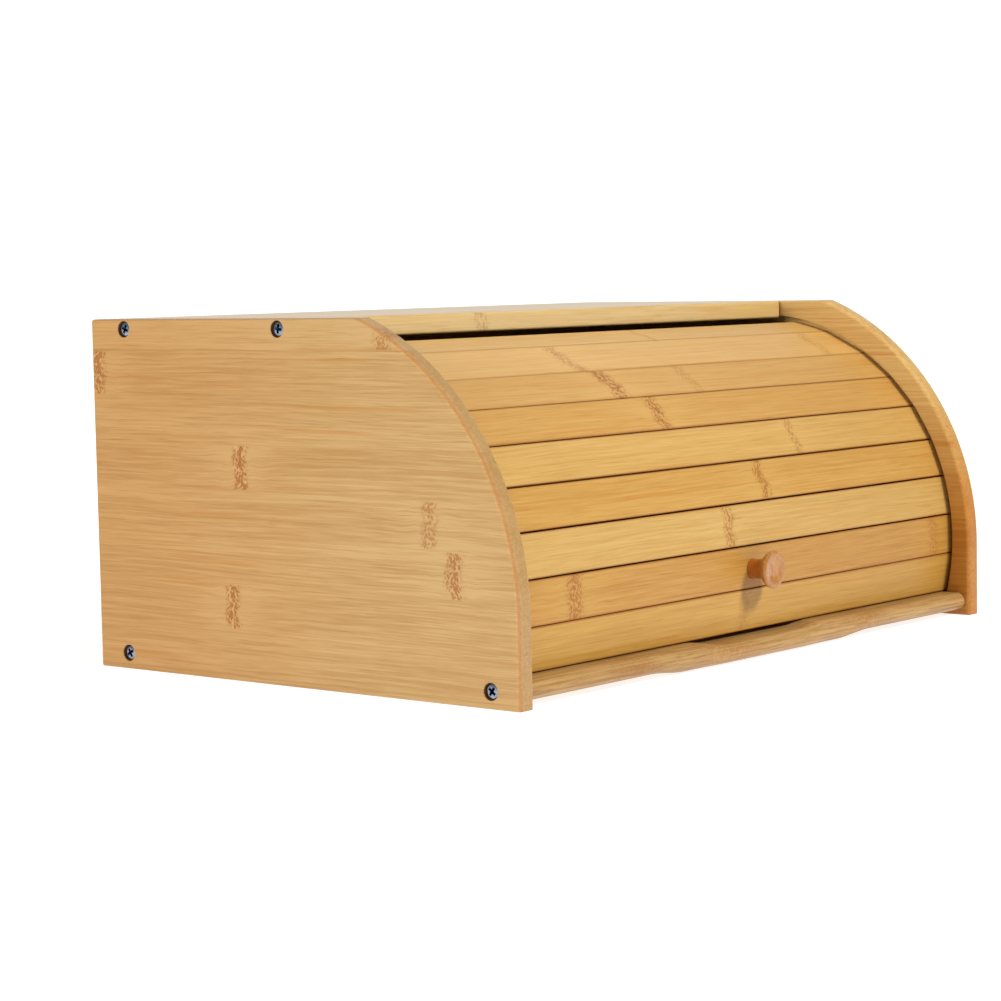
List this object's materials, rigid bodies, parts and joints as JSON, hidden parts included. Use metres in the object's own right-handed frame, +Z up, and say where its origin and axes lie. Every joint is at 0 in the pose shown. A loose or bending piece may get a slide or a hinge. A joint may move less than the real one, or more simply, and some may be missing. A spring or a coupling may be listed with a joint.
{
  "type": "bread box with roll top",
  "caption": "Bamboo bread box whose slatted front rolls up and back in grooved side panels, opened by a turned wooden knob.",
  "frame": {"origin": "under the middle of the whole object, knob included, on the surface it stands on", "axes": "+Z up, the roll top and its knob face -Y, +X towards the right-hand side panel as seen from the front"},
  "size_m": [0.4, 0.2705, 0.173],
  "materials": {
    "panel_bamboo": "satin lacquered bamboo, edge-glued strips",
    "board_bamboo": "satin lacquered bamboo",
    "slat_bamboo": "satin lacquered bamboo, golden",
    "knob_wood": "glossy lacquered turned wood",
    "screw_steel": "zinc plated",
    "cloth": "plain woven cotton canvas"
  },
  "bodies": {
    "case": {"side_panel_left": "panel_bamboo", "side_panel_right": "panel_bamboo", "top_board": "board_bamboo", "base_board": "board_bamboo", "front_rail": "board_bamboo", "back_panel": "board_bamboo", "screw_left_top_back": "screw_steel", "screw_left_top_front": "screw_steel", "screw_left_base_back": "screw_steel", "screw_left_base_front": "screw_steel", "screw_right_top_back": "screw_steel", "screw_right_top_front": "screw_steel", "screw_right_base_back": "screw_steel", "screw_right_base_front": "screw_steel"},
    "roll_top": {"slat_1": "slat_bamboo", "slat_2": "slat_bamboo", "slat_3": "slat_bamboo", "slat_4": "slat_bamboo", "slat_5": "slat_bamboo", "slat_6": "slat_bamboo", "slat_7": "slat_bamboo", "slat_8": "slat_bamboo", "slat_9": "slat_bamboo", "backing_cloth": "cloth", "knob": "knob_wood", "knob_screw": "screw_steel", "knob_washer": "screw_steel"}
  },
  "joints": [
    {"name": "roll_top_turn", "type": "hinge", "parent": "case", "child": "roll_top", "pos_m": [0, -0.00105, 0.0419], "axis": [-1, 0, 0], "range_deg": [0, 79]}
  ]
}
